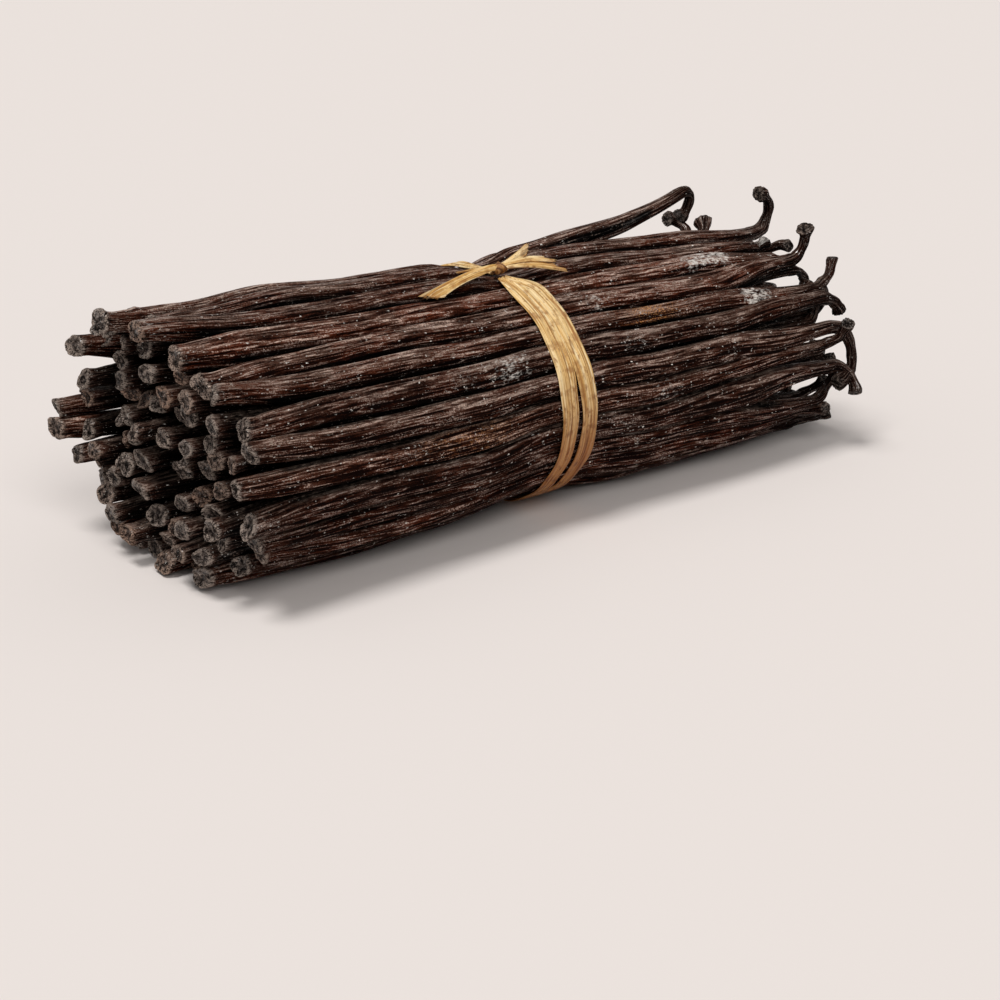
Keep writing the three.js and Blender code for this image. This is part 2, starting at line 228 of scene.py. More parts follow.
def makePiece(name, tubes, material, node):
    # tubes: a list of dicts with points (rows, sides, 3), ends (2, 3) and one array per attribute
    places, fields, quads, tris, base = [], {}, [], [], 0
    for tube in tubes:
        rows, sides = tube["points"].shape[:2]
        q, t = tubeFaces(rows, sides)
        quads.append(q + base)
        tris.append(t + base)
        places.append(np.concatenate([tube["points"].reshape(-1, 3), tube["ends"]]))
        for key, value in tube["fields"].items():
            width = value.shape[-1]
            ends = np.stack([value[0].mean(0), value[-1].mean(0)])
            fields.setdefault(key, []).append(np.concatenate([value.reshape(-1, width), ends]))
        base += rows * sides + 2
    place = (np.concatenate(places) + np.array(bundle["tieAt"])) * mm
    place = np.clip(place, np.array(cadLow) + boxMargin, np.array(cadHigh) - boxMargin)
    quads, tris = np.concatenate(quads), np.concatenate(tris)
    mesh = bpy.data.meshes.new(name)
    mesh.vertices.add(len(place))
    mesh.vertices.foreach_set("co", place.astype(np.float32).ravel())
    mesh.loops.add(quads.size + tris.size)
    mesh.loops.foreach_set("vertex_index", np.concatenate([quads.ravel(), tris.ravel()]).astype(np.int32))
    mesh.polygons.add(len(quads) + len(tris))
    starts = np.concatenate([np.arange(len(quads)) * 4, quads.size + np.arange(len(tris)) * 3])
    mesh.polygons.foreach_set("loop_start", starts.astype(np.int32))
    mesh.update(calc_edges=True)
    mesh.validate()
    mesh.polygons.foreach_set("use_smooth", np.ones(len(mesh.polygons), bool))
    for key, parts in fields.items():
        value = np.concatenate(parts).astype(np.float32)
        kind = "FLOAT_VECTOR" if value.shape[1] == 3 else "FLOAT"
        layer = mesh.attributes.new(key, kind, "POINT")
        layer.data.foreach_set("vector" if kind == "FLOAT_VECTOR" else "value", value.ravel())
    piece = bpy.data.objects.new(name, mesh)
    scene.collection.objects.link(piece)
    mesh.materials.append(material)
    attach(piece, "root")
    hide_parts(node)
    print(f"{name}: {len(quads) * 2 + len(tris)} triangles")


# Materials

def shaderNode(tree, kind, inputs=None, **settings):
    made = tree.nodes.new(kind)
    for key, value in settings.items():
        setattr(made, key, value)
    for key, value in (inputs or {}).items():
        socket = made.inputs[key]
        if isinstance(value, bpy.types.NodeSocket):
            tree.links.new(value, socket)
        else:
            socket.default_value = value
    return made


def newGroup(name, ins, outs):
    tree = bpy.data.node_groups.new(name, "ShaderNodeTree")
    for title, kind, value in ins:
        socket = tree.interface.new_socket(title, in_out="INPUT", socket_type=kind)
        if value is not None:
            socket.default_value = value
    for title, kind in outs:
        tree.interface.new_socket(title, in_out="OUTPUT", socket_type=kind)
    return tree, tree.nodes.new("NodeGroupInput"), tree.nodes.new("NodeGroupOutput")


def makeGrainGroup():
    # noise drawn out along the first coordinate, in millimetres; Crease is its distance from the middle value,
    # which gives thin sharp furrows, and Line marks the middle value itself
    tree, given, result = newGroup(
        "lengthwiseGrain",
        [("Coordinate", "NodeSocketVector", None), ("Across", "NodeSocketFloat", 1.0),
         ("Along", "NodeSocketFloat", 0.1), ("Detail", "NodeSocketFloat", 3.0)],
        [("Grain", "NodeSocketFloat"), ("Crease", "NodeSocketFloat"), ("Line", "NodeSocketFloat")])
    sizes = shaderNode(tree, "ShaderNodeCombineXYZ", {
        "X": given.outputs["Along"], "Y": given.outputs["Across"], "Z": given.outputs["Across"]})
    drawn = shaderNode(tree, "ShaderNodeVectorMath", {
        0: given.outputs["Coordinate"], 1: sizes.outputs[0]}, operation="MULTIPLY")
    noise = shaderNode(tree, "ShaderNodeTexNoise", {
        "Vector": drawn.outputs[0], "Scale": 1.0, "Detail": given.outputs["Detail"], "Roughness": 0.6})
    tree.links.new(noise.outputs["Fac"], result.inputs["Grain"])
    away = maths(tree, "ABSOLUTE", maths(tree, "SUBTRACT", noise.outputs["Fac"], 0.5))
    tree.links.new(spread(tree, away, 0.0, 0.16), result.inputs["Crease"])
    tree.links.new(spread(tree, away, 0.006, 0.032, 1.0, 0.0), result.inputs["Line"])
    return tree


def attribute(tree, name, output):
    return shaderNode(tree, "ShaderNodeAttribute", attribute_name=name).outputs[output]


def ramp(tree, value, stops):  # colours by value, straight from one stop to the next
    made = shaderNode(tree, "ShaderNodeValToRGB", {"Fac": value})
    points = made.color_ramp.elements
    while len(points) < len(stops):
        points.new(0.5)
    for point, (place, colour) in zip(points, stops):
        point.position = place
        point.color = (*colour, 1)
    return made.outputs["Color"]


def spread(tree, value, low, high, newLow=0.0, newHigh=1.0):  # a value range stretched to another one
    return shaderNode(tree, "ShaderNodeMapRange", {
        "Value": value, "From Min": low, "From Max": high, "To Min": newLow, "To Max": newHigh}).outputs[0]


def maths(tree, operation, a, b=0.0, clamp=False):
    return shaderNode(tree, "ShaderNodeMath", {0: a, 1: b}, operation=operation, use_clamp=clamp).outputs[0]


def blendColour(tree, amount, a, b, how="MIX"):
    a, b = (colour if isinstance(colour, bpy.types.NodeSocket) else (*colour, 1) for colour in (a, b))
    return shaderNode(tree, "ShaderNodeMix", {0: amount, 6: a, 7: b}, data_type="RGBA", blend_type=how).outputs[2]


def grainAt(tree, place, across, along, detail):  # the outputs of the lengthwise grain
    sizes = {"Coordinate": place, "Across": across, "Along": along, "Detail": detail}
    return shaderNode(tree, "ShaderNodeGroup", sizes, node_tree=grain).outputs


def noiseAt(tree, place, scale, detail, output="Fac"):
    return shaderNode(tree, "ShaderNodeTexNoise", {
        "Vector": place, "Scale": scale, "Detail": detail}).outputs[output]


def product(tree, first, *others):
    for other in others:
        first = maths(tree, "MULTIPLY", first, other)
    return first


def total(tree, *terms):  # the sum of values, each given alone or with its weight
    first, *others = [maths(tree, "MULTIPLY", *term) if isinstance(term, tuple) else term for term in terms]
    for other in others:
        first = maths(tree, "ADD", first, other)
    return first


def newMaterial(name):
    material = bpy.data.materials.new(name)
    material.use_nodes = True
    return material, material.node_tree, material.node_tree.nodes["Principled BSDF"]


def addRelief(tree, shader, height, depth):  # height is in units of depth
    bump = shaderNode(tree, "ShaderNodeBump", {"Height": height, "Strength": 1.0, "Distance": depth})
    tree.links.new(bump.outputs[0], shader.inputs["Normal"])


grain = makeGrainGroup()

# the furrow and pit colours are painted shade, the crest colour is painted highlight, the bloom colour also paints
# a sheen on the upper sides, and the pale rim of the ends is partly painted highlight
skin = dict(
    furrowShade=(0.0035, 0.0006, 0.0002), low=(0.018, 0.0045, 0.0018), side=(0.040, 0.0130, 0.0070),
    ridge=(0.080, 0.0345, 0.0220), crestHighlight=(0.42, 0.300, 0.245), ruddyLow=(0.026, 0.0048, 0.0016),
    ruddySide=(0.066, 0.0155, 0.0065), ruddy=(0.125, 0.041, 0.022), gold=(0.52, 0.23, 0.06),
    pitShade=(0.004, 0.0025, 0.002), scar=(0.034, 0.0245, 0.0205), bark=(0.150, 0.119, 0.104),
    rim=(0.56, 0.455, 0.385), ruddyTint=(1.0, 0.62, 0.42), bloomAndSheen=(0.30, 0.222, 0.178), frost=(0.88, 0.83, 0.77),
)
# colours by height, from painted shade in the furrows and pits to painted highlight on the crests and rims: place
# on the ramp and colour
skinRamps = dict(
    plain=((0.08, "furrowShade"), (0.3, "low"), (0.52, "side"), (0.78, "ridge"), (1.0, "crestHighlight")),
    warm=((0.08, "furrowShade"), (0.3, "ruddyLow"), (0.52, "ruddySide"), (0.8, "ruddy"), (1.0, "crestHighlight")),
    ends=((0.12, "pitShade"), (0.28, "scar"), (0.50, "bark"), (0.90, "rim")),
)
# sizes per millimetre: lengthwise grains as across, along and detail, even noises as scale and detail
skinGrains = dict(fine=(1.7, 0.17, 2.5), coarse=(0.5, 0.06, 2.0), pleats=(1.05, 0.06, 1.0), dashes=(3.0, 0.9, 2.0))
skinNoises = dict(pores=(2.8, 3.0), lumps=(0.85, 3.0), patches=(0.12, 2.0), grit=(5.5, 2.0), spots=(0.42, 3.0))
# what each height is summed from: one for the colours, one for the relief in millimetres; the colour height also
# counts how far the skin faces up, which paints light on the upper sides
skinHeight = dict(fold=0.2, fineCrease=0.24, coarseCrease=0.14, pores=0.45, pleatsCrease=-0.36, sky=0.18)
skinRelief = dict(fineCrease=0.12, fineGrain=0.4, pleatsCrease=-0.28, coarseGrain=1.1, pores=0.36, grit=0.12,
                  wounds=1.6)
crystals = dict(cells=(1.5, 2.5, 2.5), bend=(1.1, 1.1, 1.1), bendScale=4.0, share=0.045, size=0.17)
# value ranges: from low and high to 0 and 1, or to the two values that follow
skinRanges = dict(
    stand=(0.06, 0.70), crestBreaks=(0.44, 0.58), ruddyPatches=(0.40, 0.64), barePatches=(0.36, 0.6, 0.4, 1.0),
    brightCreases=(0.75, 1.0), brightHeights=(0.55, 0.85), goldPores=(0.48, 0.6), goldHeights=(0.3, 0.7),
    sideShade=(0.74, 0.98, 1.0, 0.025), gritTone=(0.34, 0.68, 0.5, 1.6), rimBreaks=(0.40, 0.60, 0.06, 0.34),
    endHeights=(0.41, 0.80), ruddyEnds=(1.0, 1.35), cover=(0.46, 0.72), bloomAndSheenDashes=(0.86, 0.92, 0.0, 0.75),
    dustAndSheenSky=(0.6, 1.0), dustAndSheenLumps=(0.35, 0.65, 0.02, 0.24), dustAndSheenHeights=(0.2, 0.6), heaped=(1.0, 2.6),
    heapLumps=(0.44, 0.66, 0.0, 0.4), present=(0.0, 0.03), crystalEdge=(0.0, 0.12), crystalGlow=(0, 1, 0.3, 1),
    sideFrost=(0.8, 0.97, 1.0, 0.25), powder=(0.73, 0.88, 0.0, 0.8), powderHeaps=(0.1, 0.9),
    rough=(0.4, 0.9, 0.85, 0.4), glossHeights=(0.58, 0.92), glossPatches=(0.3, 0.62, 0.4, 1.0),
)
skinGloss = {"Coat Roughness": 0.16, "Coat IOR": 1.55, "Specular IOR Level": 0.04}


def ranged(tree, value, name):
    return spread(tree, value, *skinRanges[name])


def toned(tree, value, name):
    return ramp(tree, value, [(place, skin[colour]) for place, colour in skinRamps[name]])


def readSkin(tree):  # every value that the skin's colour, gloss and relief are worked out from
    place = attribute(tree, "podCoord", "Vector")
    v = {key: attribute(tree, "pod" + key.capitalize(), "Fac")
         for key in ("fold", "scar", "tone", "red", "gold", "rim", "side", "sky", "frost")}
    for key, sizes in skinGrains.items():
        outputs = grainAt(tree, place, *sizes)
        v.update({key + part: outputs[part] for part in ("Grain", "Crease", "Line")})
    for key, sizes in skinNoises.items():
        v[key] = noiseAt(tree, place, *sizes)
    v["place"] = place
    # how high each point stands: the modelled folds, the fine creases and the pores together, and how far the skin
    # faces up, which paints light on the upper sides
    v["stand"] = ranged(tree, total(tree, *((v[key], weight) for key, weight in skinHeight.items())), "stand")
    # painted highlight along thin sharp crests, broken by the pores, stronger in some places
    v["bare"] = product(tree, v["pleatsLine"], ranged(tree, v["pores"], "crestBreaks"),
                        ranged(tree, v["patches"], "barePatches"))
    # crumpled blunt ends with a broken rim
    v["crumple"] = total(tree, (v["lumps"], 0.75), (v["pores"], 0.3),
                         product(tree, v["rim"], ranged(tree, v["pores"], "rimBreaks")))
    v["wounds"] = product(tree, v["scar"], v["crumple"])
    v["cover"] = ranged(tree, v["spots"], "cover")
    v["gathered"] = product(tree, v["cover"], v["frost"])
    return v


def skinBody(tree, v):  # painted shade in the furrows, brown sides and painted highlight on the crests by height, ruddy or golden in places
    body = toned(tree, v["stand"], "plain")
    ruddiness = maths(tree, "MULTIPLY", ranged(tree, v["patches"], "ruddyPatches"), v["red"], clamp=True)
    body = blendColour(tree, ruddiness, body, toned(tree, v["stand"], "warm"))
    body = blendColour(tree, v["bare"], body, skin["crestHighlight"])
    # painted highlight on the high points along the fine creases
    fineHighlight = product(tree, ranged(tree, v["fineCrease"], "brightCreases"),
                     ranged(tree, v["stand"], "brightHeights"), 0.4)
    body = blendColour(tree, fineHighlight, body, skin["crestHighlight"])
    golden = maths(tree, "MULTIPLY", v["gold"], ranged(tree, v["pores"], "goldPores"), clamp=True)
    golden = product(tree, golden, ranged(tree, v["stand"], "goldHeights"))
    body = blendColour(tree, golden, body, skin["gold"])
    # painted shade: no light reaches the sides that lie against the next pod, and the tone also holds the painted
    # shade of the inner pods and by the stems; fine grit makes the tone uneven
    tone = product(tree, v["tone"], ranged(tree, v["side"], "sideShade"), ranged(tree, v["grit"], "gritTone"))
    light = shaderNode(tree, "ShaderNodeCombineXYZ", {"X": tone, "Y": tone, "Z": tone}).outputs[0]
    return shaderNode(tree, "ShaderNodeVectorMath", {0: body, 1: light}, operation="MULTIPLY").outputs[0]


def endColour(tree, v):  # the blunt ends: painted shade in the pits, dull brown between them and a paler broken rim that is partly painted highlight
    ends = toned(tree, ranged(tree, v["crumple"], "endHeights"), "ends")
    ruddy = blendColour(tree, 1.0, ends, skin["ruddyTint"], "MULTIPLY")
    return blendColour(tree, product(tree, ranged(tree, v["red"], "ruddyEnds"), 0.55), ends, ruddy)


def addBloomAndSheen(tree, v, body):
    # the fine pale bloom on the ridges, in short dashes that are partly painted glints, and on the upper sides
    # dust together with a painted sheen
    bloomAndSheen = total(tree, v["dashesGrain"], (v["stand"], 0.18), (v["patches"], 0.22), (v["gathered"], 0.09))
    body = blendColour(tree, ranged(tree, bloomAndSheen, "bloomAndSheenDashes"), body, skin["bloomAndSheen"])
    dustAndSheen = product(tree, ranged(tree, v["sky"], "dustAndSheenSky"), ranged(tree, v["lumps"], "dustAndSheenLumps"),
                   ranged(tree, v["stand"], "dustAndSheenHeights"))
    return blendColour(tree, dustAndSheen, body, skin["bloomAndSheen"])


def frostShare(tree, v):
    # vanillin: small white crystals, one to a cell at most, far more of them where they gather, and powder
    cells = shaderNode(tree, "ShaderNodeVectorMath", {0: v["place"], 1: crystals["cells"]},
                       operation="MULTIPLY").outputs[0]
    bent = noiseAt(tree, v["place"], crystals["bendScale"], 1.0, "Color")
    cells = shaderNode(tree, "ShaderNodeVectorMath", {0: bent, 1: crystals["bend"], 2: cells},
                       operation="MULTIPLY_ADD").outputs[0]
    cells = shaderNode(tree, "ShaderNodeTexVoronoi", {"Vector": cells, "Scale": 1.0})
    pick = shaderNode(tree, "ShaderNodeSeparateColor", {"Color": cells.outputs["Color"]}).outputs
    heaped = ranged(tree, v["frost"], "heaped")
    share = total(tree, crystals["share"], product(tree, v["gathered"], v["cover"], 0.6),
                  product(tree, heaped, ranged(tree, v["lumps"], "heapLumps")))
    present = ranged(tree, maths(tree, "SUBTRACT", share, pick[0]), "present")
    reach = total(tree, crystals["size"], (pick[1], 0.32))
    near = ranged(tree, maths(tree, "SUBTRACT", reach, cells.outputs["Distance"]), "crystalEdge")
    frosted = product(tree, present, near, ranged(tree, pick[2], "crystalGlow"),
                      ranged(tree, v["side"], "sideFrost"))
    powder = total(tree, (heaped, 0.22), (v["dashesGrain"], 0.6), (v["lumps"], 0.55))
    powder = product(tree, ranged(tree, powder, "powder"), ranged(tree, heaped, "powderHeaps"))
    return maths(tree, "MAXIMUM", frosted, powder)


def makeSkin():
    material, tree, shader = newMaterial("vanillaSkin")
    v = readSkin(tree)
    body = blendColour(tree, v["scar"], skinBody(tree, v), endColour(tree, v))
    frosted = frostShare(tree, v)
    colour = blendColour(tree, frosted, addBloomAndSheen(tree, v, body), skin["frost"])
    tree.links.new(colour, shader.inputs["Base Color"])
    rough = total(tree, ranged(tree, v["stand"], "rough"), (frosted, 0.25))
    tree.links.new(rough, shader.inputs["Roughness"])
    # the oily gloss lies on the ridges only, stronger in some places
    gloss = product(tree, ranged(tree, v["stand"], "glossHeights"), ranged(tree, v["patches"], "glossPatches"))
    gloss = maths(tree, "ADD", gloss, product(tree, v["bare"], 0.9), clamp=True)
    tree.links.new(gloss, shader.inputs["Coat Weight"])
    for title, value in skinGloss.items():
        shader.inputs[title].default_value = value
    addRelief(tree, shader, total(tree, *((v[key], weight) for key, weight in skinRelief.items())), mm)
    return material


straw = dict(pale=(0.84, 0.58, 0.25), tan=(0.62, 0.34, 0.09), light=(0.97, 0.77, 0.45), stain=(0.36, 0.155, 0.035),
             brown=(0.13, 0.045, 0.012), shade=(0.46, 0.27, 0.14))
strawGrains = dict(fibres=(1.9, 0.05, 3.0), speckle=(1.6, 0.55, 3.0), bands=(0.9, 0.06, 2.0))
strawRamp = ((0.0, "stain"), (0.25, "tan"), (0.55, "pale"), (1.0, "light"))


def makeStraw():  # long fibres from brown to pale, then specks, bands and stains, then painted shade towards the bottom (the same field darkens the knot and stains the cut ends of the tails) and painted shade in the creases
    material, tree, shader = newMaterial("raffiaStraw")
    place = attribute(tree, "fibreCoord", "Vector")
    fibres, speckle, bands = (grainAt(tree, place, *sizes)["Grain"] for sizes in strawGrains.values())
    stains = noiseAt(tree, place, 0.5, 4.0)
    body = ramp(tree, spread(tree, fibres, 0.36, 0.62), [(at, straw[colour]) for at, colour in strawRamp])
    body = blendColour(tree, spread(tree, speckle, 0.57, 0.66, 0, 0.85), body, straw["stain"])
    body = blendColour(tree, spread(tree, bands, 0.5, 0.7, 0, 0.6), body, straw["tan"])
    body = blendColour(tree, spread(tree, stains, 0.53, 0.68, 0, 0.75), body, straw["stain"])
    # painted shade: the straw is darkened towards the bottom; the same field darkens the knot and stains the cut
    # ends of the tails
    low = blendColour(tree, 1.0, body, straw["shade"], "MULTIPLY")
    body = blendColour(tree, attribute(tree, "fibreShadeAndStain", "Fac"), body, low)
    # painted shade in the creases of the strips and the groove of the knot
    furrows = spread(tree, attribute(tree, "fibreCrease", "Fac"), 0.05, 0.55)
    tree.links.new(blendColour(tree, furrows, body, straw["brown"]), shader.inputs["Base Color"])
    shader.inputs["Roughness"].default_value = 0.5
    addRelief(tree, shader, fibres, 0.7 * mm)
    return material


shade = dict(dark=(0.003, 0.0014, 0.001), brown=(0.012, 0.006, 0.004), perMetre=260.0)


def makeShade():  # what shows between the pods: unlit brown skin further in
    material, tree, shader = newMaterial("vanillaShade")
    where = shaderNode(tree, "ShaderNodeTexCoord").outputs["Object"]
    noise = noiseAt(tree, where, shade["perMetre"], 3.0)
    tree.links.new(ramp(tree, noise, [(0.3, shade["dark"]), (0.7, shade["brown"])]), shader.inputs["Base Color"])
    shader.inputs["Roughness"].default_value = 0.7
    return material


# The pods

wrinkles = dict(
    folds=((2, 0.035, 30), (3, 0.035, 24), (5, 0.035, 18), (8, 0.042, 14), (12, 0.046, 12), (17, 0.042, 10)),
    wander=2.6, bulge=0.10, pinches=((2, 0.06), (3, 0.05), (5, 0.04), (8, 0.04)),
    dents=((2, 0.2), (3, 0.12), (5, 0.08)),
)
podMesh = dict(
    outerSides=64, outerStep=1.25, innerSides=26, innerStep=1.3, stemSides=20, tipPart=34, stemPart=50,
    tipRows=(0.0, 0.25, 0.6, 1.0, 1.6, 2.4, 3.4, 4.6), curlSteps=40, fullness=1.07, squareness=2.6,
)
# the pod whose blunt end shows best: it has a wide rim and a collar behind it
flaredPod = dict(number=5, rim=0.5, waist=0.12, collar=0.16)
# frost gathers at these places: pod to (place along the bundle, strength, reach, side in degrees round the pod)
frostPlaces = {
    6: ((30, 0.9, 5, 90),), 7: ((77, 2.2, 4, 90),), 8: ((55, 3.1, 6, 110), (47, 1.4, 5, 70)),
    9: ((14, 1.4, 5, 70), (60, 0.7, 5, 90)), 10: ((59, 2.7, 5, 80),),
    11: ((-15, 1.5, 7, 75), (20, 1.2, 5, 80), (-30, 0.9, 9, 90)), 12: ((45, 1.2, 8, 60), (-20, 0.8, 12, 60)),
    13: ((25, 1.3, 6, 100), (-45, 0.9, 9, 100)), 14: ((12, 1.2, 6, 90), (-10, 0.8, 16, 110)),
    15: ((18, 1.0, 8, 60),),
}
goldPlaces = {10: (27, 1.1, 6), 13: (-30, 0.3, 12)}


def creases(pod, s, phi, sides):
    # sum of sharp waves round the pod whose phase and strength wander along it
    rng = np.random.default_rng(500 + pod["number"])
    height = np.zeros((len(s), len(phi)))
    for waves, strength, step in wrinkles["folds"]:
        gain = 0.2 + 0.8 * (0.5 + 0.5 * driftNoise(rng, s, step))
        phase = rng.uniform(0, 2 * math.pi) + wrinkles["wander"] * driftNoise(rng, s, step * 1.6)
        around = driftNoise(rng, s, 22)[:, None] * 0.8 * np.sin(phi[None, :] + rng.uniform(0, 6))
        t = waves * phi[None, :] + phase[:, None] + around * waves * 0.3
        if waves * 3.4 <= sides:
            height += strength * gain[:, None] * (2 * np.abs(np.sin(t / 2)) - 1)
    return height


def bodyRows(pod, x, rng):  # middle line, ways and half sizes of the body, with a rim and a waist at its blunt end
    n = pod["number"]
    point, out = podLine(pod, x)
    heading = unit(podLine(pod, x + 0.5)[0] - podLine(pod, x - 0.5)[0])
    share = bodyShare(pod, x)
    fromTip = x - pod["tip"]
    own = dict(rim=0.02 + 0.2 * chance(n, 21), waist=0.02 + 0.12 * chance(n, 22), collar=0.0)
    if n == flaredPod["number"]:
        own = flaredPod
    share = share * (1 + own["rim"] * np.exp(-(fromTip / 1.0) ** 2)
                     - own["waist"] * np.exp(-((fromTip - 3.4) / 1.9) ** 2)
                     + own["collar"] * np.exp(-((fromTip - 8.5) / 0.7) ** 2))
    swell = 1 + wrinkles["bulge"] * (driftNoise(rng, x, 19) - 0.3) * ease(fromTip, 4, 16)
    share = share * np.minimum(swell, 1.04)
    halfWidth = pod["halfWidth"] * share
    if "fit" in pod:
        halfWidth = halfWidth * np.interp(x, pod["fit"][0], pod["fit"][2]) * podMesh["fullness"]
    return dict(point=point, heading=heading, up=square(out, heading), halfWidth=halfWidth,
                halfThickness=pod["halfThickness"] * share, scar=np.zeros(len(x)))


def stemRows(pod, neck, step, rng):  # the stem goes on from the neck along an arc that tightens, to a cut knob
    n = pod["number"]
    s = podSizes
    length, turn, aim, _ = pod["stem"]
    aim = math.radians(aim)
    heading, up = neck["heading"], neck["up"]
    bend = np.array([0, math.cos(aim), math.sin(aim)])
    if neck["point"][2] < 20 and bend[2] < 0:
        bend[2] = -bend[2]
    bend = square(bend, heading)
    hinge = np.cross(heading, bend)
    steps = podMesh["curlSteps"]
    middle = turn * ((np.arange(steps) + 0.5) / steps) ** s["stemCurl"]
    path = np.cumsum(np.cos(middle)[:, None] * heading + np.sin(middle)[:, None] * bend, 0) * length / steps
    path = np.concatenate([np.zeros((1, 3)), path])
    shares = np.linspace(0, 1, max(int(length / min(step, 0.7)), 9) + 1)[1:]
    along = np.stack([np.interp(shares, np.linspace(0, 1, steps + 1), path[:, k]) for k in range(3)], -1)
    wobble = np.stack([driftNoise(rng, shares * length, 3.0) for _ in range(3)], -1)
    along += 0.4 * ease(shares, 0, 0.3)[:, None] * wobble
    now = (turn * shares ** s["stemCurl"])[:, None]
    bent = np.cos(now) * bend - np.sin(now) * heading
    thin = mix(s["neckShare"], s["stemShare"], ease(shares, 0, 0.5))
    knob = s["knobShare"] * (0.85 + 0.35 * chance(n, 35))
    size = pod["halfThickness"] * mix(thin * 0.95, knob, ease(shares, 0.78, 0.95))
    size = size * (1 + 0.13 * driftNoise(rng, shares * length, 1.8))
    return dict(point=neck["point"] + along, heading=np.cos(now) * heading + np.sin(now) * bend,
                up=unit(bent * (up @ bend) + hinge * (up @ hinge)),
                halfWidth=mix(neck["halfWidth"], size * 1.1, ease(shares, 0, 0.3)), halfThickness=size,
                scar=0.5 * ease(shares, 0.93, 1))


def addRows(rows, count, atStart, given):  # rows beyond an end, the same as its last row but for what is given
    joined = {}
    for key, value in rows.items():
        extra = given.get(key, np.repeat(value[:1] if atStart else value[-1:], count, 0))
        joined[key] = np.concatenate([extra, value] if atStart else [value, extra])
    return joined


def closeTip(pod, rows):  # rows from the rim of the blunt end to its middle, dished a little
    dish = np.array([0.5, 0.5, 0.15, -0.1]) * (1.6 * chance(pod["number"], 23) - 0.45)
    rows = addRows(rows, 4, True, dict(
        point=rows["point"][0] + rows["heading"][0] * dish[:, None], radial=np.array([0.30, 0.62, 0.84, 0.96]),
        along=np.zeros(4), scar=np.ones(4), rim=np.array([0.05, 0.2, 0.55, 0.95])))
    rows["scar"][4:9] = np.maximum(rows["scar"][4:9], [0.95, 0.8, 0.5, 0.3, 0.1])
    return rows


def closeStem(rows):  # rows over the cut end of the knob
    ahead = np.array([[0.15], [0.1]])
    return addRows(rows, 2, False, dict(
        point=rows["point"][-1] + rows["heading"][-1] * ahead, radial=np.array([0.86, 0.5]),
        along=rows["along"][-1:] + np.array([0.1, 0.2]), scar=np.array([0.8, 1.0]), rim=np.array([0.3, 0])))


def cutAslant(pod, rows, phi):  # how far each point moves along the pod where the blunt end is cut, with dents
    n = pod["number"]
    slant = 6.3 * chance(n, 27)
    radial, along = rows["radial"], rows["along"]
    lean = np.cos(slant) * np.cos(phi)[None, :] + np.sin(slant) * np.sin(phi)[None, :]
    lean = (1 - lean * radial[:, None]) * rows["halfThickness"][:, None] * 0.6 * chance(n, 28)
    dents = sum(size * np.cos(waves * phi + 6.3 * chance(n, 50 + waves))[None, :] * radial[:, None] ** 1.5
                for waves, size in wrinkles["dents"])
    lean += dents * np.exp(-(along / 1.2) ** 2)[:, None]
    return (lean * np.exp(-(along / 3.0) ** 2)[:, None])[..., None]


def podFields(pod, rows, phi, across, tipEnd):  # what the skin material reads at each point
    n = pod["number"]
    along, radial, where = rows["along"], rows["radial"], rows["point"][:, 0]
    coord = np.stack([along[:, None] + 0 * phi + 231.7 * chance(n, 31),
                      3 * radial[:, None] * np.cos(phi) + 17.3 * n,
                      3 * radial[:, None] * np.sin(phi) + 9.1 * n], -1)
    frost = 0.3 + 0.7 * chance(n, 33) ** 1.5 + 0 * (where[:, None] + phi)
    for at, strength, reach, sideways in frostPlaces.get(n, ()):
        turned = np.cos(phi - math.radians(sideways))
        frost = frost + strength * np.exp(-((where - at) / reach) ** 2)[:, None] * ease(turned, 0.1, 0.9)
    if tipEnd and pod["ring"] == 0:
        frost = frost + 1.3 * chance(n, 36) * np.exp(-((along - 2.5) / 2.5) ** 2)[:, None]
    at, strength, reach = goldPlaces.get(n, (0, 0, 1))
    gold = strength * np.exp(-((where - at) / reach) ** 2)
    # painted shade: light reaches the inner pods at their ends only, and little of it gets in between the stems,
    # so the colour is darkened further in and towards the stems
    lit = np.maximum(np.exp(-np.maximum(along - 0.6, 0) / 1.6), ease(where, pod["neck"] - 14, pod["neck"] + 2))
    paintedShade = 0.06 + 0.94 * lit if pod["ring"] else 1
    paintedShade = paintedShade * (1 - 0.5 * ease(where, pod["neck"] - 12, pod["neck"] + 3))
    apart = ease(along, 3, 14) if tipEnd else 1.0  # near their ends the pods stand free
    apart = apart * (1 - ease(where, pod["neck"] - 14, pod["neck"] - 2))
    sky = across[..., 2] / np.maximum(np.linalg.norm(across, axis=-1), 1e-9)
    ones = np.ones((len(along), len(phi), 1))
    fields = dict(podTone=(0.8 + 0.7 * chance(n, 32)) * paintedShade + 0 * where,
                  podRed=0.25 + 1.1 * chance(n, 34) + 0 * where, podGold=gold, podScar=rows["scar"],
                  podRim=rows["rim"])
    fields = {key: value[:, None, None] * ones for key, value in fields.items()}
    fields.update(podCoord=coord, podFold=np.clip(rows["height"] / 0.16, -1, 1)[..., None],
                  podSide=(apart[:, None] * np.abs(np.cos(phi)) + 0 * phi)[..., None],
                  podSky=ease(sky, -0.2, 0.95)[..., None], podFrost=frost[..., None])
    return fields


